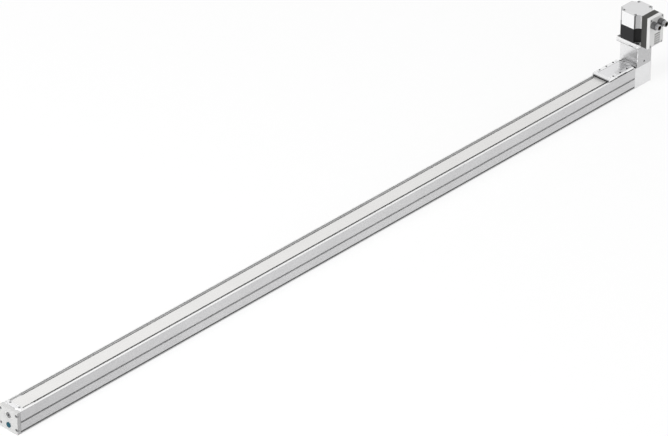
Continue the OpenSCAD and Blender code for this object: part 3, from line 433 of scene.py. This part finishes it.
def bar(name, low, high, r, body, slot):
    """Upright bar with rounded corners of radius r between two corner points."""
    mesh = bpy.data.meshes.new(name)
    shape = bmesh.new()
    corners = ((high[0] - r, high[1] - r, 0), (low[0] + r, high[1] - r, 90),
               (low[0] + r, low[1] + r, 180), (high[0] - r, low[1] + r, 270))
    outline = []
    for x, y, start in corners:
        for step in range(CORNER_STEPS + 1):
            angle = math.radians(start + step * 90 / CORNER_STEPS)
            outline.append((x + r * math.cos(angle), y + r * math.sin(angle)))
    face = shape.faces.new([shape.verts.new((x, y, low[2])) for x, y in outline])
    grown = bmesh.ops.extrude_face_region(shape, geom=[face])["geom"]
    bmesh.ops.translate(shape, vec=(0, 0, high[2] - low[2]),
                        verts=[v for v in grown if isinstance(v, bmesh.types.BMVert)])
    bmesh.ops.recalc_face_normals(shape, faces=shape.faces)
    shape.to_mesh(mesh)
    shape.free()
    mesh.materials.append(looks[slot])
    piece = put(name, mesh)
    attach(piece, body)


table_low, table_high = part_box("slide_table")
lip_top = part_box("profile")[1][2]
# Black strips as painted shade in the gap under the slide's long edges
shade_strip_x = (table_low[0] + 0.0012, table_high[0] - 0.0012)
shade_strip_z = (lip_top + 0.0002, table_low[2])
for name, y0, y1 in (("slide_seal_front", table_low[1] + 0.0001, table_low[1] + 0.0022),
                     ("slide_seal_rear", table_high[1] - 0.0022, table_high[1] - 0.0001)):
    bar(name, (shade_strip_x[0], y0, shade_strip_z[0]), (shade_strip_x[1], y1, shade_strip_z[1]),
        0.0008, "slide", "belt_rubber")

head_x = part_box("drive_head")[0][0]
# Black rubber stop pads, which also stand as painted shade on the drive head's top next to the
# slide
for name, y0, y1 in (("stop_pad_front", -0.0206, -0.0156), ("stop_pad_rear", 0.0156, 0.0206)):
    bar(name, (head_x + 0.0003, y0, lip_top - 0.002), (head_x + 0.0036, y1, lip_top + 0.001),
        0.001, "axis_frame", "buffer_rubber")

plate_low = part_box("adapter_plate")[0]
# A black block put in the slot as painted shade
bar("slot_shade_block", (plate_low[0] + 0.0003, SLOT_Y[0], plate_low[2] + 0.00005),
    (plate_low[0] + 0.0035, SLOT_Y[1], plate_low[2] + 0.00195),
    0.0005, "axis_frame", "buffer_rubber")

# ---------- belt ----------

# The belt is a copy of its CAD solid in its own finish, and the CAD solid is hidden
belt_solid = nodes["toothed_belt"]
belt = put("belt", belt_solid.data.copy())
belt.matrix_world = belt_solid.matrix_world.copy()
belt.data.materials.clear()
belt.data.materials.append(own_finish["toothed_belt"])
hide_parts("toothed_belt")
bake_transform(belt)

# ---------- floor ----------

FLOOR_HALF = 40.0
# How much of the floor that a camera or glossy ray sees is plain white
FLOOR_WHITE = 0.82

floor_z = cad_box[0][2]
floor_mesh = bpy.data.meshes.new("floor")
floor_mesh.from_pydata([(-FLOOR_HALF, -FLOOR_HALF, floor_z), (FLOOR_HALF, -FLOOR_HALF, floor_z),
                        (FLOOR_HALF, FLOOR_HALF, floor_z), (-FLOOR_HALF, FLOOR_HALF, floor_z)],
                       [], [(0, 1, 2, 3)])
floor = put("floor", floor_mesh)

pale = Nodes("pale_floor")
speck = pale.noise((40, 40, 40), detail=2)
tone = pale.mix(pale.remap(speck, 0, 1), (0.95, 0.95, 0.95), (0.97, 0.97, 0.97))
pale.link(tone, pale.bsdf.inputs["Base Color"])
pale.bsdf.inputs["Roughness"].default_value = 0.9
pale.bsdf.inputs["Specular IOR Level"].default_value = 0.0
glow = pale.add("ShaderNodeEmission")
glow.inputs["Strength"].default_value = 1.0
mixer = pale.add("ShaderNodeMixShader")
pale.link(pale.math("MULTIPLY", pale.seen(), FLOOR_WHITE), mixer.inputs["Fac"])
pale.link(pale.bsdf.outputs["BSDF"], mixer.inputs[1])
pale.link(glow.outputs["Emission"], mixer.inputs[2])
pale.link(mixer.outputs["Shader"], pale.tree.nodes["Material Output"].inputs["Surface"])
floor_mesh.materials.append(pale.mat)

# ---------- studio ----------

# Strength of the studio's light on the object, and as it is seen and mirrored
LIGHT_STRENGTH, SEEN_STRENGTH = 0.72, 1.0
# A dark flag high behind the idler end gives the polished faces something to reflect.
# It fades in as the cosine of the angle to its middle goes from FLAG_EDGE to FLAG_CORE.
FLAG_MIDDLE = (-0.62, 0.58, 0.53)
FLAG_EDGE, FLAG_CORE = 0.62, 0.92
FLAG_STRENGTH = 0.2

world = bpy.data.worlds.new("studio")
scene.world = world
world.use_nodes = True
studio = Tree(world.node_tree)
back = world.node_tree.nodes["Background"]
back.inputs["Color"].default_value = (1, 1, 1, 1)
strength = studio.remap(studio.seen(), LIGHT_STRENGTH, SEEN_STRENGTH, 0, 1)
toward = studio.add("ShaderNodeVectorMath", operation="DOT_PRODUCT")
toward.inputs[1].default_value = Vector(FLAG_MIDDLE).normalized()
studio.link(studio.add("ShaderNodeTexCoord").outputs["Generated"], toward.inputs[0])
flag = studio.remap(toward.outputs["Value"], 1.0, FLAG_STRENGTH, FLAG_EDGE, FLAG_CORE)
studio.link(studio.math("MULTIPLY", strength, flag), back.inputs["Strength"])


def lamp(name, place, target, size, watts, mirrored=True):
    data = bpy.data.lights.new(name, "AREA")
    data.shape = "DISK"
    data.size = size
    data.energy = watts
    obj = put(name, data)
    obj.location = place
    obj.rotation_euler = (Vector(target) - Vector(place)).to_track_quat("-Z", "Y").to_euler()
    obj.visible_camera = False
    obj.visible_glossy = mirrored


middle = Vector(((cad_box[0][0] + cad_box[1][0]) / 2, 0, 0.05))
lamp("key", middle + Vector((-7.0, 1.0, 4.0)), middle, 4.0, 330)
lamp("top", middle + Vector((-1.2, 0.1, 2.4)), middle + Vector((-0.7, 0, 0)), 1.2, 17,
     mirrored=False)
lamp("side", middle + Vector((0.5, -7.0, 2.5)), middle, 4.0, 60)

# ---------- camera ----------

# Turned from +Y towards +X, and tilted below the horizon
CAMERA_TURN, CAMERA_TILT = math.radians(46.4502), math.radians(31.8026)
CAMERA_PLACE = Vector((-5.0966, -4.8358, 4.4180))
LENS_MM, SENSOR_MM = 243.84, 36
CLIP_END = 60

ahead = Vector((math.sin(CAMERA_TURN) * math.cos(CAMERA_TILT),
                math.cos(CAMERA_TURN) * math.cos(CAMERA_TILT), -math.sin(CAMERA_TILT)))
right = Vector((math.cos(CAMERA_TURN), -math.sin(CAMERA_TURN), 0))
up = right.cross(ahead)
camera_data = bpy.data.cameras.new("camera")
camera_data.sensor_width = SENSOR_MM
camera_data.lens = LENS_MM
camera_data.clip_end = CLIP_END
camera = put("camera", camera_data)
turned = Matrix((right, up, -ahead)).transposed().to_4x4()
camera.matrix_world = Matrix.Translation(CAMERA_PLACE) @ turned
scene.camera = camera

scene.view_settings.view_transform = "Standard"
